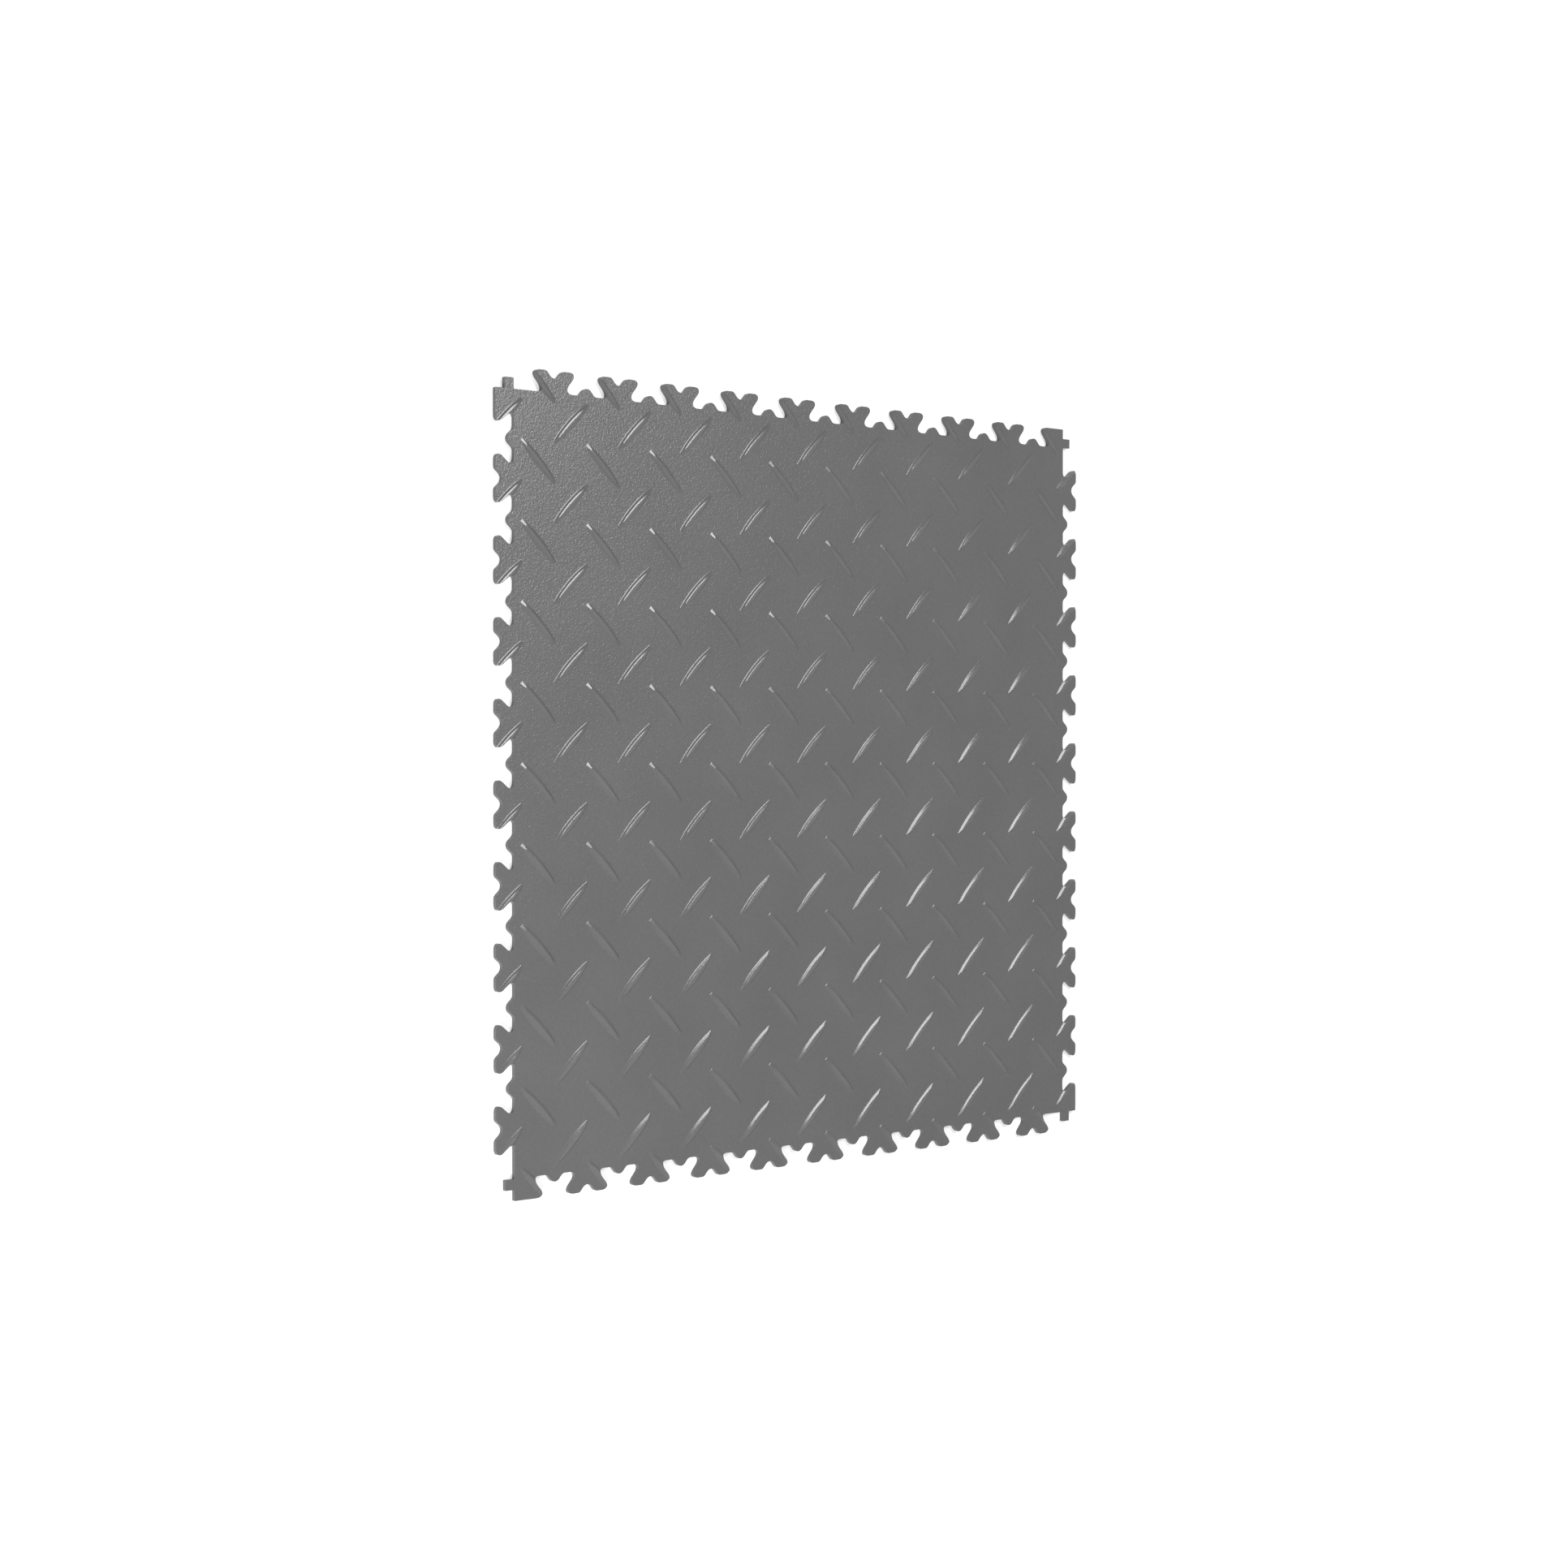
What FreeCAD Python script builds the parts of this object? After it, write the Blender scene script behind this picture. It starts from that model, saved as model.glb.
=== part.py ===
"""Interlocking PVC floor tile with a raised diamond tread, moulded in one piece.

All sizes are in millimetres. The tile lies flat: the origin is at the centre of its underside,
+X and +Y run along its edges and +Z points up. Each edge is the same row of Y-shaped tabs, turned
a quarter turn from one edge to the next, so that any edge locks into any edge of another tile.
"""
import FreeCAD
import Part

import math
import os

from FreeCAD import Vector

# Laying grid: tiles repeat every tabs_per_side * tab_pitch
tab_pitch = 50.0
tabs_per_side = 10

# Plate
plate_thickness = 3.0

# Interlocking edge, drawn about the line where two laid tiles meet
edge_reach = 6.9             # how far tabs stand out past that line, and sockets cut in behind it
undercut_angle = 40.0        # lean of a tab's flanks, which holds it in its socket
lobe_radius = 3.35           # outer round of each lobe of a Y
shoulder_radius = 3.0        # inner round of each lobe
notch_half_width = 6.0       # half the gap between the two lobes, at their tips
notch_root = -0.25           # where the notch's two flanks would meet, out from the line
notch_radius = 4.35          # round at the notch's floor
side_clearance = 0.15        # how far this tile's edge is drawn back, all round
round_step = 34.0            # most degrees that a round turns by at each of its points

# Tread: lens-shaped lugs, each with a narrow flat crest
lug_length = 36.3
lug_width = 5.8
lug_end_width = 2.3
lug_height = 1.0
crest_length = 26.0
lug_sides = 4                # flat facets along each flank of a lug

cutter_overrun = 1.0         # how far the outline's cutter runs past both faces of the sheet


def tab_corners(centre):
    """Corners of one Y tab, as distance along the edge, distance out from the line and radius."""
    flank_out = tab_pitch / 4 + edge_reach * math.tan(math.radians(undercut_angle))
    flank_in = tab_pitch / 2 - flank_out
    return [
        (centre - flank_in, -edge_reach, lobe_radius),
        (centre - flank_out, edge_reach, lobe_radius),
        (centre - notch_half_width, edge_reach, shoulder_radius),
        (centre, notch_root, notch_radius),
        (centre + notch_half_width, edge_reach, shoulder_radius),
        (centre + flank_out, edge_reach, lobe_radius),
        (centre + flank_in, -edge_reach, lobe_radius),
    ]


def bump_corners(centre):
    """Corners of the bump in a socket, which fills the notch of the tab that goes in there."""
    return [
        (centre - notch_half_width, -edge_reach, shoulder_radius),
        (centre, -notch_root, notch_radius),
        (centre + notch_half_width, -edge_reach, shoulder_radius),
    ]


def side_corners():
    """Corners of one edge: its corner tab, the Y tabs and sockets, and the half tab at its end."""
    corners = [
        (0.0, -edge_reach, 0.0),
        (0.0, 0.0, 0.0),
        (edge_reach, 0.0, 0.0),
        (edge_reach, -edge_reach, 0.0),
    ]
    for k in range(tabs_per_side - 1):
        corners += tab_corners((k + 0.75) * tab_pitch)
        corners += bump_corners((k + 1.25) * tab_pitch)
    half_tab = tab_corners((tabs_per_side - 0.25) * tab_pitch)[:2]
    end = tabs_per_side * tab_pitch - edge_reach
    return corners + half_tab + [(end, edge_reach, 0.0)]


def outline_corners():
    """Corners of the whole outline, clockwise, about the tile's centre."""
    half_grid = tabs_per_side * tab_pitch / 2
    corners = []
    for turn in range(4):
        turned = FreeCAD.Rotation(Vector(0, 0, 1), -90 * turn)
        for along, out, radius in side_corners():
            corners.append((turned.multVec(Vector(along - half_grid, half_grid + out, 0)), radius))
    return corners


def rounded_corner(before, point, after, radius):
    """Points along a tangent round at one corner, its side drawn back by side_clearance."""
    arriving = (point - before).normalize()
    leaving = (after - point).normalize()
    inward_arriving = Vector(arriving.y, -arriving.x, 0)
    inward_leaving = Vector(leaving.y, -leaving.x, 0)
    across = inward_arriving + inward_leaving
    corner = point + across * (side_clearance / (1 + inward_arriving.dot(inward_leaving)))
    if radius == 0:
        return [corner]
    turn = math.degrees(arriving.getAngle(leaving))
    outer = arriving.cross(leaving).z < 0
    sign = 1 if outer else -1
    radius -= sign * side_clearance
    centre = corner + across * (sign * radius / (1 + inward_arriving.dot(inward_leaving)))
    steps = math.ceil(turn / round_step)
    first = inward_arriving * (-sign * radius)
    points = []
    for i in range(steps + 1):
        swung = FreeCAD.Rotation(Vector(0, 0, 1), -sign * turn * i / steps)
        points.append(centre + swung.multVec(first))
    return points


def outline_face():
    """The tile's outline, every corner rounded."""
    corners = outline_corners()
    points = []
    for i, (point, radius) in enumerate(corners):
        after = corners[(i + 1) % len(corners)][0]
        points += rounded_corner(corners[i - 1][0], point, after, radius)
    return polygon_face(points)


def polygon_face(points):
    return Part.Face(Part.makePolygon(points + points[:1]))


def lens_side(length, end_width, middle_width, height):
    """Points along one long side of a lens, from its left end to its right."""
    points = []
    for i in range(lug_sides + 1):
        share = 2 * i / lug_sides - 1
        half_width = (middle_width - (middle_width - end_width) * share ** 2) / 2
        points.append(Vector(share * length / 2, half_width, plate_thickness + height))
    return points


def tread_lug():
    """One lug along X, standing on the plate's top face at the origin."""
    # The crest narrows as the foot does, so that every facet between them is flat
    crest_width = (lug_width - lug_end_width) * crest_length / lug_length
    foot = lens_side(lug_length, lug_end_width, lug_width, 0)
    crest = lens_side(crest_length, 0, crest_width, lug_height)
    half_turn = FreeCAD.Rotation(Vector(0, 0, 1), 180)
    far_foot = [half_turn.multVec(point) for point in foot]
    far_crest = [half_turn.multVec(point) for point in crest]
    faces = [polygon_face(foot + far_foot), polygon_face(crest[:-1] + far_crest[:-1])]
    for low, high, opposite in ((foot, crest, far_foot), (far_foot, far_crest, foot)):
        for i in range(lug_sides):
            faces.append(polygon_face([low[i], low[i + 1], high[i + 1], high[i]]))
        faces.append(polygon_face([low[-1], opposite[0], high[-1]]))
    return Part.Solid(Part.Shell(faces))


def tread():
    """Lugs at 45 degrees, leaning to the right and to the left in turn, over the whole grid."""
    lug = tread_lug()
    half_grid = tabs_per_side * tab_pitch / 2
    lugs = []
    for i in range(tabs_per_side + 1):
        on_line = i * tab_pitch - half_grid
        for j in range(tabs_per_side):
            between = (j + 0.5) * tab_pitch - half_grid
            for lean, x, y in ((45, on_line, between), (-45, between, on_line)):
                turned = lug.rotated(Vector(0, 0, 0), Vector(0, 0, 1), lean)
                lugs.append(turned.translated(Vector(x, y, 0)))
    return lugs


def floor_tile():
    """A treaded sheet larger than the tile, cut through along the tile's outline."""
    half_sheet = tabs_per_side * tab_pitch / 2 + lug_length
    sheet = Part.makeBox(2 * half_sheet, 2 * half_sheet, plate_thickness,
                         Vector(-half_sheet, -half_sheet, 0))
    outline = outline_face().translated(Vector(0, 0, -cutter_overrun))
    cutter = outline.extrude(Vector(0, 0, plate_thickness + lug_height + 2 * cutter_overrun))
    return sheet.fuse(tread()).common(cutter)


os.makedirs("parts", exist_ok=True)
tile = floor_tile().Solids[0]
tile.exportStep("parts/floor_tile.step")
print("volume:", round(tile.Volume), "faces:", len(tile.Faces))
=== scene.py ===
import math

import bpy
from mathutils import Matrix, Vector


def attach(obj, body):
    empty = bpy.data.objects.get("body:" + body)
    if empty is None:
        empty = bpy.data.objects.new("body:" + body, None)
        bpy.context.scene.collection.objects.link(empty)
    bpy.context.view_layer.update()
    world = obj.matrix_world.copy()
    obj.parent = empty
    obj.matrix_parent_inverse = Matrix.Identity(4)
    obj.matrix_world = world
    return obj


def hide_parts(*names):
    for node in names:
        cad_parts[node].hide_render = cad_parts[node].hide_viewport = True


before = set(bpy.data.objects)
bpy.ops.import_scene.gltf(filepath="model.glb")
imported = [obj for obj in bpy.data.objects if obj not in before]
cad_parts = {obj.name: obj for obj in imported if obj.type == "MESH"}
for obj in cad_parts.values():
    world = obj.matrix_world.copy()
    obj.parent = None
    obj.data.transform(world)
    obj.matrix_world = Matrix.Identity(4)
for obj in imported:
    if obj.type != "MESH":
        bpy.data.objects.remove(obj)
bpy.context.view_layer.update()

# Camera: stands off the tile's left side and looks down on it, 41 degrees from upright, with the
# tile's far edges kept upright in the picture.
camera_place = Vector((-1.1879, 0.0142, 1.3672))
looked_at = Vector((-0.0226, -0.0011, 0.0))
lens = 61.65

bpy.ops.object.camera_add(location=camera_place)
camera = bpy.context.object
camera.name = "camera"
back = (camera_place - looked_at).normalized()
right = Vector((0, 1, 0)).cross(back).normalized()
camera.rotation_euler = Matrix((right, back.cross(right), back)).transposed().to_euler()
camera.data.lens = lens
bpy.context.scene.camera = camera
bpy.context.scene.view_settings.view_transform = "Standard"

# Studio: a white sheet on the floor that runs out to a white surround. The sheet shows only from
# above, so that the tile can be looked at from below as well.
floor_size = 14.0
floor_drop = 0.0004              # so that the sheet doesn't share the underside's plane
floor_colour = (0.60, 0.60, 0.60, 1)
floor_glow = 0.60                # near the tile
glow_rise = (0.4, 2.0)           # distances between which it rises to the surround's white
surround_light = 0.12


def seen_straight(nodes, links):
    """1 for rays from the camera, in a reflection or through glass, 0 for the light that falls."""
    path = nodes.new("ShaderNodeLightPath")
    reflected = nodes.new("ShaderNodeMath")
    reflected.operation = "MAXIMUM"
    links.new(path.outputs["Is Camera Ray"], reflected.inputs[0])
    links.new(path.outputs["Is Glossy Ray"], reflected.inputs[1])
    through = nodes.new("ShaderNodeMath")
    through.operation = "MAXIMUM"
    links.new(reflected.outputs["Value"], through.inputs[0])
    links.new(path.outputs["Is Transmission Ray"], through.inputs[1])
    return through.outputs["Value"]


world = bpy.data.worlds.new("white_surround")
bpy.context.scene.world = world
world.use_nodes = True
nodes, links = world.node_tree.nodes, world.node_tree.links
strength = nodes.new("ShaderNodeMapRange")
strength.inputs["To Min"].default_value = surround_light
strength.inputs["To Max"].default_value = 1.0
links.new(seen_straight(nodes, links), strength.inputs["Value"])
links.new(strength.outputs["Result"], nodes["Background"].inputs["Strength"])
nodes["Background"].inputs["Color"].default_value = (1, 1, 1, 1)

bpy.ops.object.select_all(action="DESELECT")
bpy.ops.mesh.primitive_plane_add(size=floor_size, location=(0, 0, -floor_drop))
floor = bpy.context.object
floor.name = "floor"
sheet = bpy.data.materials.new("white_sheet")
sheet.use_nodes = True
nodes, links = sheet.node_tree.nodes, sheet.node_tree.links
nodes.clear()
paper = nodes.new("ShaderNodeBsdfDiffuse")
paper.inputs["Color"].default_value = floor_colour
on_floor = nodes.new("ShaderNodeTexCoord")
distance = nodes.new("ShaderNodeVectorMath")
distance.operation = "LENGTH"
links.new(on_floor.outputs["Object"], distance.inputs[0])
rise = nodes.new("ShaderNodeMapRange")
rise.interpolation_type = "SMOOTHSTEP"
rise.inputs["From Min"].default_value, rise.inputs["From Max"].default_value = glow_rise
rise.inputs["To Min"].default_value = floor_glow
links.new(distance.outputs["Value"], rise.inputs["Value"])
seen_glow = nodes.new("ShaderNodeMath")
seen_glow.operation = "MULTIPLY"
links.new(seen_straight(nodes, links), seen_glow.inputs[0])
links.new(rise.outputs["Result"], seen_glow.inputs[1])
glow = nodes.new("ShaderNodeEmission")
links.new(seen_glow.outputs["Value"], glow.inputs["Strength"])
lit_paper = nodes.new("ShaderNodeAddShader")
links.new(paper.outputs["BSDF"], lit_paper.inputs[0])
links.new(glow.outputs["Emission"], lit_paper.inputs[1])
from_below = nodes.new("ShaderNodeNewGeometry")
clear = nodes.new("ShaderNodeBsdfTransparent")
one_sided = nodes.new("ShaderNodeMixShader")
links.new(from_below.outputs["Backfacing"], one_sided.inputs["Fac"])
links.new(lit_paper.outputs["Shader"], one_sided.inputs[1])
links.new(clear.outputs["BSDF"], one_sided.inputs[2])
output = nodes.new("ShaderNodeOutputMaterial")
links.new(one_sided.outputs["Shader"], output.inputs["Surface"])
floor.data.materials.append(sheet)

# Studio lamps. A long softbox hangs high up beyond the tile's far right corner, its length along
# the line from the far left to the near right: it is what shows in the lugs' left flanks and,
# faintly, in the plate's grain at the far left. A smaller one stands low off the near left corner
# and lights the flanks that face the other way.
def softbox(name, place, turn, size, power):
    """An oblong lamp that faces the tile's centre, its length turned by this much from X."""
    bpy.ops.object.light_add(type="AREA", location=place)
    lamp = bpy.context.object
    lamp.name = name
    lamp.data.shape = "RECTANGLE"
    lamp.data.size, lamp.data.size_y = size
    lamp.data.energy = power
    outward = Vector(place).normalized()
    along = Matrix.Rotation(math.radians(turn), 3, "Z") @ Vector((1, 0, 0))
    across = outward.cross(along).normalized()
    lamp.rotation_euler = Matrix((across.cross(outward), across, outward)).transposed().to_euler()


softbox("high_softbox", (0.426, 1.026, 2.127), turn=135, size=(1.36, 0.80), power=39.1)
softbox("low_softbox", (-1.07, -0.75, 0.61), turn=135, size=(0.6, 0.45), power=19.6)

# The floor tile: one square of soft, filled PVC, moulded in one piece. Its plate has nine Y tabs and
# nine sockets of the same form along each edge, a small square tab where each edge starts and half
# a tab where it ends, so that any edge presses down into any edge of the next tile.
mm = 0.001
hair = 0.01 * mm                 # places nearer than this are the same
merge_distance = 0.02 * mm
tab_pitch = 50 * mm
tabs_per_side = 10
plate_thickness = 3.0 * mm
edge_reach = 6.9 * mm            # how far a tab stands out past the line where two tiles meet
undercut_angle = math.radians(40)
lobe_radius = 3.35 * mm
shoulder_radius = 3.0 * mm
notch_half_width = 6.0 * mm
notch_root = -0.25 * mm
notch_radius = 4.35 * mm
corner_radius = 0.5 * mm
lobe_segments, notch_segments, shoulder_segments, corner_segments = 10, 8, 4, 4
side_clearance = 0.15 * mm       # drawn back all round, so that laid tiles don't bind
half_grid = tab_pitch * tabs_per_side / 2
flank_out = tab_pitch / 4 + edge_reach * math.tan(undercut_angle)
flank_in = tab_pitch / 2 - flank_out
repeat_start = -(flank_in + tab_pitch / 2 - notch_half_width) / 2


def draw_line(corners):
    """Draws a line corner by corner along the tile's top edge, as a new object in edit mode."""
    bpy.ops.object.select_all(action="DESELECT")
    bpy.ops.mesh.primitive_plane_add(size=mm)
    bpy.ops.object.mode_set(mode="EDIT")
    bpy.ops.mesh.merge(type="CENTER")
    start = Vector((-half_grid, half_grid, plate_thickness))
    at = Vector((0, 0, 0))
    for number, (along, out) in enumerate(corners):
        to = start + Vector((along, out, 0))
        if number == 0:
            bpy.ops.transform.translate(value=to - at)
        else:
            bpy.ops.mesh.extrude_vertices_move(TRANSFORM_OT_translate={"value": to - at})
        at = to
    return bpy.context.object


def round_corners(piece, corners, turn, radius, segments):
    """Rounds the corners of a drawn line that lie at these places, each turning by this much."""
    bpy.ops.mesh.select_all(action="DESELECT")
    bpy.ops.object.mode_set(mode="OBJECT")
    places = [Vector((along - half_grid, out + half_grid, plate_thickness)) for along, out in corners]
    for vertex in piece.data.vertices:
        vertex.select = any((vertex.co - place).length < hair for place in places)
    bpy.ops.object.mode_set(mode="EDIT")
    bpy.ops.mesh.bevel(affect="VERTICES", offset_type="ABSOLUTE",
                       offset=radius * math.tan(turn / 2), segments=segments)


# One repeat of an edge: a Y tab, the socket beside it and the bump that fills a Y's notch.
tab = 0.75 * tab_pitch
bump = 1.25 * tab_pitch
roots = [(tab - flank_in, -edge_reach), (tab + flank_in, -edge_reach)]
lobes = [(tab - flank_out, edge_reach), (tab + flank_out, edge_reach)]
shoulders = [(tab - notch_half_width, edge_reach), (tab + notch_half_width, edge_reach)]
bump_feet = [(bump - notch_half_width, -edge_reach), (bump + notch_half_width, -edge_reach)]
notch_bottom, bump_top = (tab, notch_root), (bump, -notch_root)
edge_repeat = draw_line([
    (tab + repeat_start, -edge_reach), roots[0], lobes[0], shoulders[0], notch_bottom,
    shoulders[1], lobes[1], roots[1], bump_feet[0], bump_top, bump_feet[1],
    (tab + repeat_start + tab_pitch, -edge_reach)])
lobe_turn = math.radians(90) + undercut_angle
notch_slope = math.atan2(edge_reach - notch_root, notch_half_width)
round_corners(edge_repeat, roots + lobes, lobe_turn, lobe_radius, lobe_segments)
round_corners(edge_repeat, shoulders + bump_feet, notch_slope, shoulder_radius, shoulder_segments)
round_corners(edge_repeat, [notch_bottom, bump_top], 2 * notch_slope, notch_radius,
              notch_segments)
bpy.ops.object.mode_set(mode="OBJECT")
row = edge_repeat.modifiers.new("row", "ARRAY")
row.count = tabs_per_side - 1
row.use_relative_offset = False
row.use_constant_offset = True
row.constant_offset_displace = (tab_pitch, 0, 0)
bpy.ops.object.modifier_apply(modifier=row.name)

# The start of an edge is its square corner tab and the gap beside it, its end half a Y tab.
first_repeat = tab + repeat_start
last_repeat = first_repeat + (tabs_per_side - 1) * tab_pitch
half_tab = tab + (tabs_per_side - 1) * tab_pitch
far_end = 2 * half_grid - edge_reach
edge_start = draw_line([(0, -edge_reach), (0, 0), (edge_reach, 0), (edge_reach, -edge_reach),
                        (first_repeat, -edge_reach)])
round_corners(edge_start, [(0, 0), (edge_reach, 0), (edge_reach, -edge_reach)], math.radians(90),
              corner_radius, corner_segments)
bpy.ops.object.mode_set(mode="OBJECT")
edge_end = draw_line([
    (last_repeat, -edge_reach), (half_tab - flank_in, -edge_reach),
    (half_tab - flank_out, edge_reach), (far_end, edge_reach), (far_end, 0)])
round_corners(edge_end, [(half_tab - flank_in, -edge_reach), (half_tab - flank_out, edge_reach)],
              lobe_turn, lobe_radius, lobe_segments)
round_corners(edge_end, [(far_end, edge_reach)], math.radians(90), corner_radius, corner_segments)
bpy.ops.object.mode_set(mode="OBJECT")

# Four such edges, each a quarter turn on from the last, close the outline. It is filled, drawn
# back by the clearance and pulled down to the plate's thickness, and its rims are softened.
rims = [                         # height, radius and steps of each rim's round
    (plate_thickness, 0.4 * mm, 4),
    (0, 0.2 * mm, 1),
]

bpy.ops.object.select_all(action="DESELECT")
for line in (edge_start, edge_end, edge_repeat):
    line.select_set(True)
bpy.context.view_layer.objects.active = edge_repeat
bpy.ops.object.join()
plate = edge_repeat
bpy.ops.object.mode_set(mode="EDIT")
bpy.ops.mesh.select_all(action="SELECT")
for quarter in range(3):
    bpy.ops.mesh.duplicate()
    bpy.ops.transform.rotate(value=math.radians(90), orient_axis="Z", center_override=(0, 0, 0))
bpy.ops.mesh.select_all(action="SELECT")
bpy.ops.mesh.remove_doubles(threshold=merge_distance)
bpy.ops.mesh.edge_face_add()
bpy.ops.mesh.inset(thickness=side_clearance)
bpy.ops.mesh.select_all(action="INVERT")
bpy.ops.mesh.delete(type="VERT")
bpy.ops.mesh.select_all(action="SELECT")
bpy.ops.mesh.extrude_region_move(TRANSFORM_OT_translate={"value": (0, 0, -plate_thickness)})
bpy.ops.mesh.select_all(action="SELECT")
bpy.ops.mesh.normals_make_consistent(inside=False)
bpy.ops.object.mode_set(mode="OBJECT")
trimmer = plate.copy()
trimmer.data = plate.data.copy()
bpy.context.collection.objects.link(trimmer)
trimmer.scale.z = 2              # reaches past the lugs, which it will trim
for rim_height, radius, steps in rims:
    bpy.ops.object.mode_set(mode="OBJECT")
    for polygon in plate.data.polygons:
        faces_up_or_down = abs(polygon.normal.z) > 0.9
        polygon.select = faces_up_or_down and abs(polygon.center.z - rim_height) < hair
    bpy.ops.object.mode_set(mode="EDIT")
    bpy.ops.mesh.select_mode(type="FACE")
    bpy.ops.mesh.region_to_loop()
    bpy.ops.mesh.bevel(offset=radius, segments=steps)
    bpy.ops.mesh.select_mode(type="VERT")
bpy.ops.object.mode_set(mode="OBJECT")

# The tread: 220 low lens-shaped lugs, moulded with the plate, leaning right and left in turn. A
# lug's foot runs into the plate, and its narrow crest ends in a point above each pointed end.
lug_root = 0.6 * mm              # buried in the plate, below its rounded rim
lug_stations = 6
lug_rings = [                    # height, length, width at the middle and width at the ends
    (0.00 * mm, 36.1 * mm, 6.20 * mm, 2.50 * mm),
    (0.12 * mm, 35.5 * mm, 5.40 * mm, 2.05 * mm),
    (0.84 * mm, 27.65 * mm, 3.04 * mm, 0.98 * mm),
    (0.95 * mm, 26.0 * mm, 2.30 * mm, 0.45 * mm),
    (1.00 * mm, 24.5 * mm, 0, 0),
]

bpy.ops.object.select_all(action="DESELECT")
bpy.ops.mesh.primitive_plane_add(size=1)
lug = bpy.context.object
bpy.ops.object.mode_set(mode="EDIT")
bpy.ops.transform.resize(value=lug_rings[0][1:3] + (1,))
bpy.ops.transform.translate(value=(0, 0, plate_thickness - lug_root))
for station in range(1, lug_stations):
    bpy.ops.mesh.select_all(action="SELECT")
    place = (station / lug_stations - 0.5) * lug_rings[0][1]
    bpy.ops.mesh.bisect(plane_co=(place, 0, 0), plane_no=(1, 0, 0))


def shape_ring(old_length, height, length, middle_width, end_width):
    """Gives the topmost ring of the lug its length, and its width at each station along it."""
    bpy.ops.transform.resize(value=(length / old_length, 1, 1))
    for station in range(lug_stations + 1):
        share = 2 * station / lug_stations - 1
        width = middle_width - (middle_width - end_width) * share ** 2
        bpy.ops.object.mode_set(mode="OBJECT")
        ring = [vertex for vertex in lug.data.vertices
                if abs(vertex.co.z - height) < hair
                and abs(vertex.co.x - share * length / 2) < hair]
        for vertex in lug.data.vertices:
            vertex.select = vertex in ring
        for edge in lug.data.edges:
            edge.select = False
        for polygon in lug.data.polygons:
            polygon.select = False
        old_width = 2 * abs(ring[0].co.y)
        bpy.ops.object.mode_set(mode="EDIT")
        bpy.ops.transform.resize(value=(1, max(width, merge_distance / 2) / old_width, 1))
    select_level(height)


def select_level(height):
    """Selects the lug's flat top."""
    bpy.ops.object.mode_set(mode="OBJECT")
    for polygon in lug.data.polygons:
        polygon.select = all(abs(lug.data.vertices[i].co.z - height) < hair
                             for i in polygon.vertices)
    bpy.ops.object.mode_set(mode="EDIT")


bpy.ops.mesh.select_mode(type="VERT")
old_level, old_length = -lug_root, lug_rings[0][1]
shape_ring(old_length, plate_thickness + old_level, *lug_rings[0][1:])
for level, length, middle_width, end_width in lug_rings:
    bpy.ops.mesh.extrude_region_move(TRANSFORM_OT_translate={"value": (0, 0, level - old_level)})
    shape_ring(old_length, plate_thickness + level, length, middle_width, end_width)
    old_level, old_length = level, length
bpy.ops.mesh.select_all(action="SELECT")
bpy.ops.mesh.remove_doubles(threshold=merge_distance)
bpy.ops.mesh.normals_make_consistent(inside=False)
bpy.ops.object.mode_set(mode="OBJECT")

# One lug of each lean is set out over the whole grid, those of one lean on the grid's lines one way
# and halfway between them the other. They are trimmed at the outline and grow out of the plate.
def lay_out(piece, lean, across, along):
    """Sets a lug out in rows, from the far left corner, at its lean."""
    bpy.ops.object.select_all(action="DESELECT")
    piece.select_set(True)
    bpy.context.view_layer.objects.active = piece
    bpy.ops.object.mode_set(mode="EDIT")
    bpy.ops.mesh.select_all(action="SELECT")
    bpy.ops.transform.rotate(value=-math.radians(lean), orient_axis="Z", center_override=(0, 0, 0))
    start_x = -half_grid + (0.5 * tab_pitch if across == tabs_per_side else 0)
    start_y = -half_grid + (0.5 * tab_pitch if along == tabs_per_side else 0)
    bpy.ops.transform.translate(value=(start_x, start_y, 0))
    bpy.ops.object.mode_set(mode="OBJECT")
    for count, step in ((across, (tab_pitch, 0, 0)), (along, (0, tab_pitch, 0))):
        rows = piece.modifiers.new("rows", "ARRAY")
        rows.count = count
        rows.use_relative_offset = False
        rows.use_constant_offset = True
        rows.constant_offset_displace = step
        bpy.ops.object.modifier_apply(modifier=rows.name)


def combine(piece, other, operation):
    """Joins, trims or cuts one solid with another, which is used up."""
    bpy.ops.object.select_all(action="DESELECT")
    piece.select_set(True)
    bpy.context.view_layer.objects.active = piece
    blend = piece.modifiers.new("combine", "BOOLEAN")
    blend.object = other
    blend.operation = operation
    blend.solver = "MANIFOLD"
    bpy.ops.object.modifier_apply(modifier=blend.name)
    bpy.data.objects.remove(other)


other_lug = lug.copy()
other_lug.data = lug.data.copy()
bpy.context.collection.objects.link(other_lug)
lay_out(lug, 45, tabs_per_side + 1, tabs_per_side)
lay_out(other_lug, -45, tabs_per_side, tabs_per_side + 1)
bpy.ops.object.select_all(action="DESELECT")
lug.select_set(True)
other_lug.select_set(True)
bpy.context.view_layer.objects.active = lug
bpy.ops.object.join()
tread = lug
combine(tread, trimmer, "INTERSECT")
combine(plate, tread, "UNION")
tile = plate
tile.name = "floor_tile_skin"

# Rounded edges and lugs are shaded smooth, the flat top and underside flat, and each lug's flanks
# keep a clean line at the foot and at the crest, which is where they catch the light.
smooth_angle = math.radians(26)
flat = 0.9999                    # how nearly a flat face's normal points straight up or down
flank_rings = lug_rings[1:3]

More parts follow.
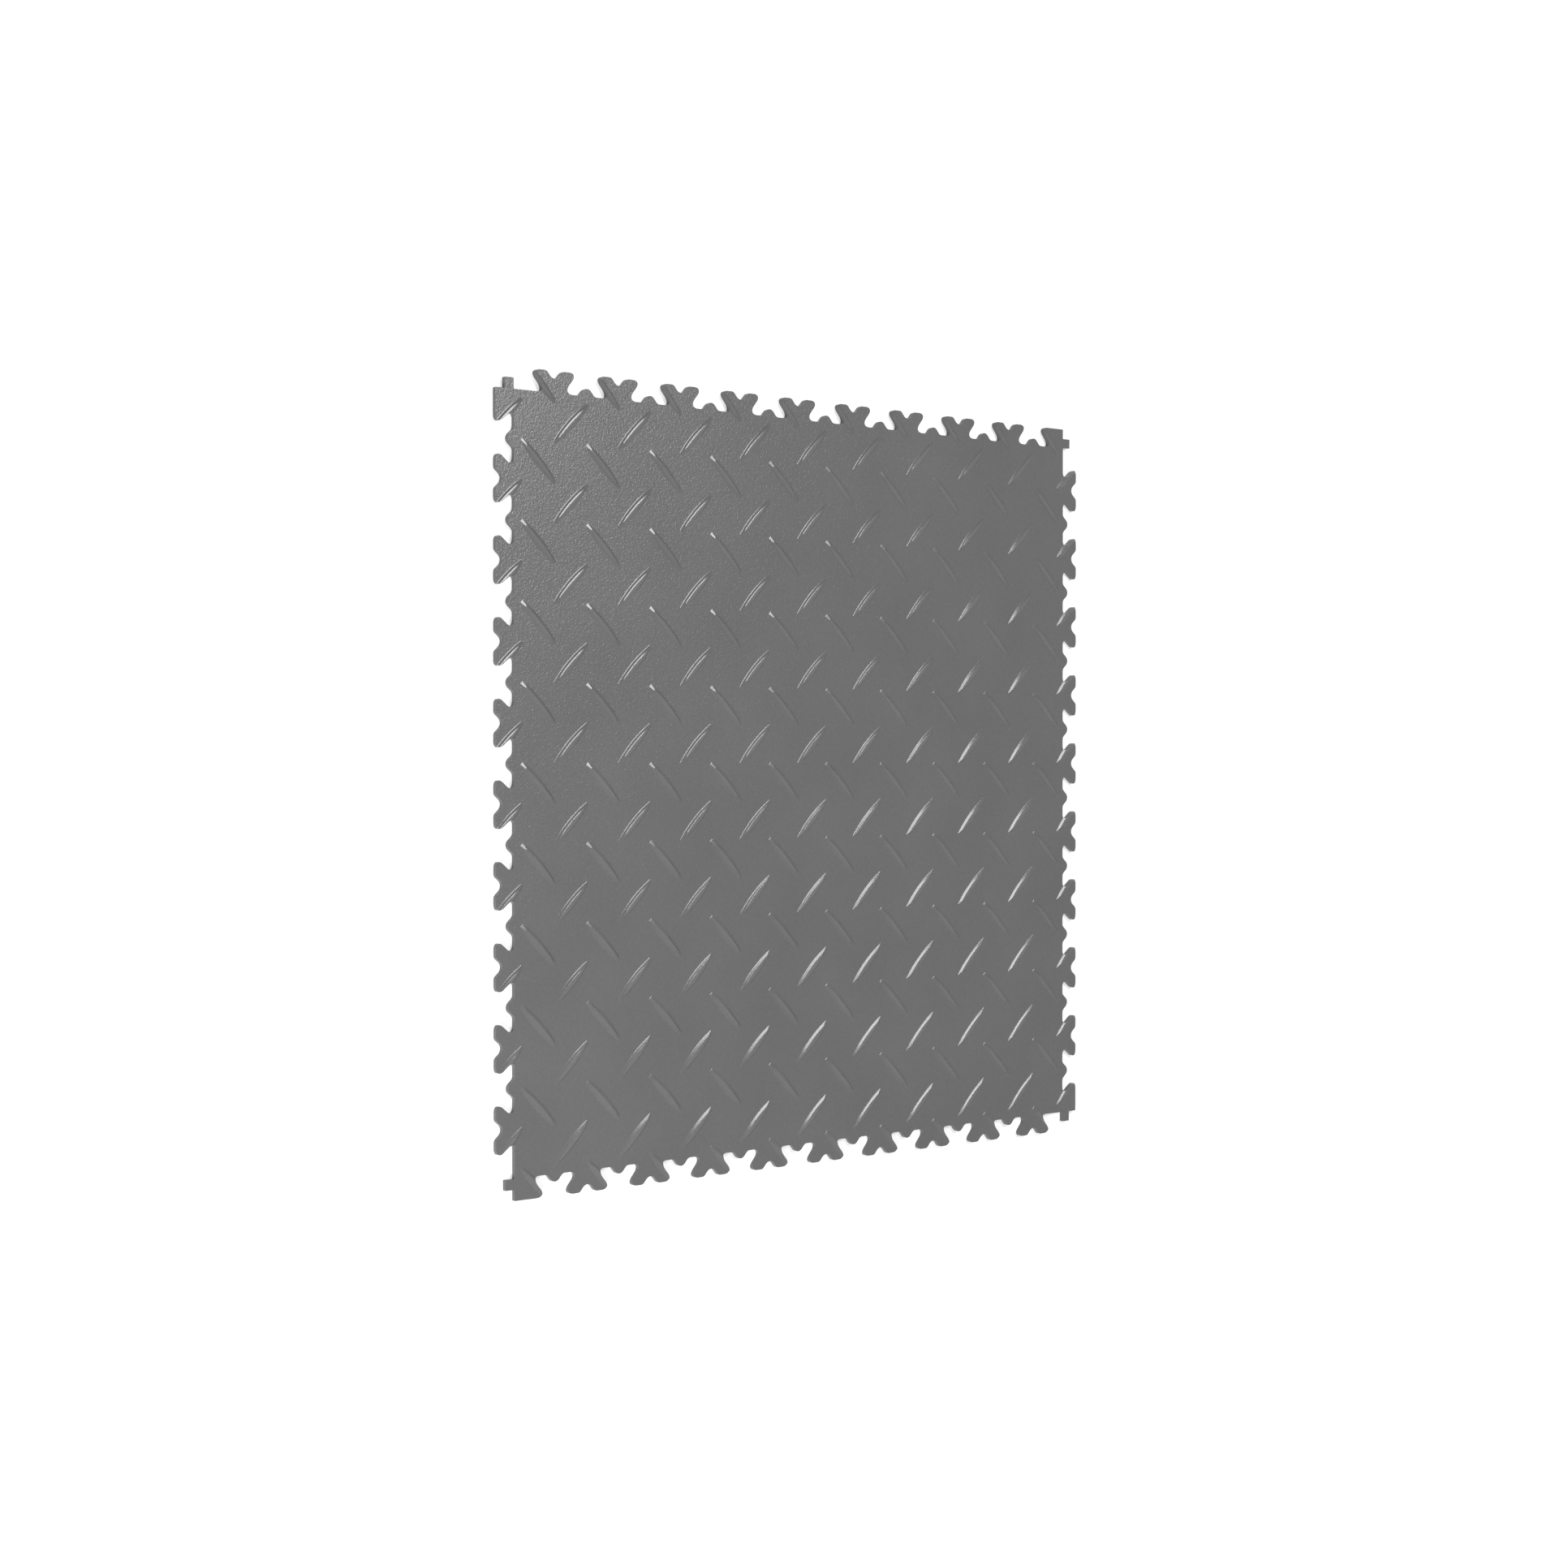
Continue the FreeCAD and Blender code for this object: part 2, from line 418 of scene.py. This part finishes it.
bpy.ops.object.select_all(action="DESELECT")
tile.select_set(True)
bpy.ops.object.shade_smooth_by_angle(angle=smooth_angle)
for polygon in tile.data.polygons:
    if abs(polygon.normal.z) > flat and polygon.center.z < plate_thickness + hair:
        polygon.use_smooth = False
for edge in tile.data.edges:
    levels = [tile.data.vertices[i].co.z - plate_thickness for i in edge.vertices]
    for ring in flank_rings:
        if all(abs(level - ring[0]) < hair for level in levels):
            edge.use_edge_sharp = True
on_lug = tile.data.attributes.new("on_lug", "FLOAT", "FACE")
for polygon in tile.data.polygons:
    on_lug.data[polygon.index].value = polygon.center.z > plate_thickness + hair

# The finish: matt grey PVC with the fine grain of a blasted mould on the plate. The lugs came off a
# smoother mould, and their crests are painted a little paler towards the top: a painted highlight.
pvc_grey = 0.103
pvc_mottle, mottle_size = 0.06, 35 * mm      # share by which the grey wanders, and how far apart
pvc_specks, speck_size = 0.04, 0.9 * mm
noise_span = (0.3, 0.7)          # values between which nearly all of a noise lies
painted_crest_highlight = 0.25              # share by which a crest is painted paler than its lug, at its highest: painted highlight
crest_highlight_start = 0.85 * mm          # height above the plate where the painted highlight begins
plate_roughness = 0.24
lug_roughness = 0.15
grain_size = 0.6 * mm
grain_depth = 0.21 * mm

pvc = bpy.data.materials.new("moulded_grey_pvc")
pvc.use_nodes = True
nodes, links = pvc.node_tree.nodes, pvc.node_tree.links
shader = nodes["Principled BSDF"]
shader.inputs["IOR"].default_value = 1.54
coordinates = nodes.new("ShaderNodeTexCoord")
heights = nodes.new("ShaderNodeSeparateXYZ")
links.new(coordinates.outputs["Object"], heights.inputs["Vector"])


def ramp(value, low, high, at_low, at_high):
    """A value that runs from at_low to at_high as the given one runs from low to high."""
    node = nodes.new("ShaderNodeMapRange")
    node.inputs["From Min"].default_value = low
    node.inputs["From Max"].default_value = high
    node.inputs["To Min"].default_value = at_low
    node.inputs["To Max"].default_value = at_high
    links.new(value, node.inputs["Value"])
    return node.outputs["Result"]


def product(first, second):
    node = nodes.new("ShaderNodeMath")
    node.operation = "MULTIPLY"
    links.new(first, node.inputs[0])
    links.new(second, node.inputs[1])
    return node.outputs["Value"]


def noise(size, detail):
    """A cloudy pattern with marks of about this size."""
    node = nodes.new("ShaderNodeTexNoise")
    node.inputs["Scale"].default_value = 1 / (2 * size)
    node.inputs["Detail"].default_value = detail
    links.new(coordinates.outputs["Object"], node.inputs["Vector"])
    return node.outputs["Fac"]


lug_mark = nodes.new("ShaderNodeAttribute")
lug_mark.attribute_name = "on_lug"
off_lug = ramp(lug_mark.outputs["Fac"], 0, 1, 1, 0)
# Painted highlight: the grey is raised towards each lug's crest, standing in for the light it
# catches.
crest = ramp(heights.outputs["Z"], plate_thickness + crest_highlight_start,
             plate_thickness + lug_rings[-1][0], 1, 1 + painted_crest_highlight)
mottle = ramp(noise(mottle_size, 3), *noise_span, 1 - pvc_mottle, 1 + pvc_mottle)
specks = ramp(noise(speck_size, 1), *noise_span, (1 - pvc_specks) * pvc_grey,
              (1 + pvc_specks) * pvc_grey)
grey = nodes.new("ShaderNodeCombineColor")
tone = product(product(mottle, specks), crest)
for channel in ("Red", "Green", "Blue"):
    links.new(tone, grey.inputs[channel])
links.new(grey.outputs["Color"], shader.inputs["Base Color"])
links.new(ramp(off_lug, 0, 1, lug_roughness, plate_roughness), shader.inputs["Roughness"])
grain = nodes.new("ShaderNodeBump")
grain.inputs["Distance"].default_value = grain_depth
links.new(product(noise(grain_size, 2), off_lug), grain.inputs["Height"])
links.new(grain.outputs["Normal"], shader.inputs["Normal"])
tile.data.materials.clear()
tile.data.materials.append(pvc)

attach(tile, "root")
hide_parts("floor_tile")
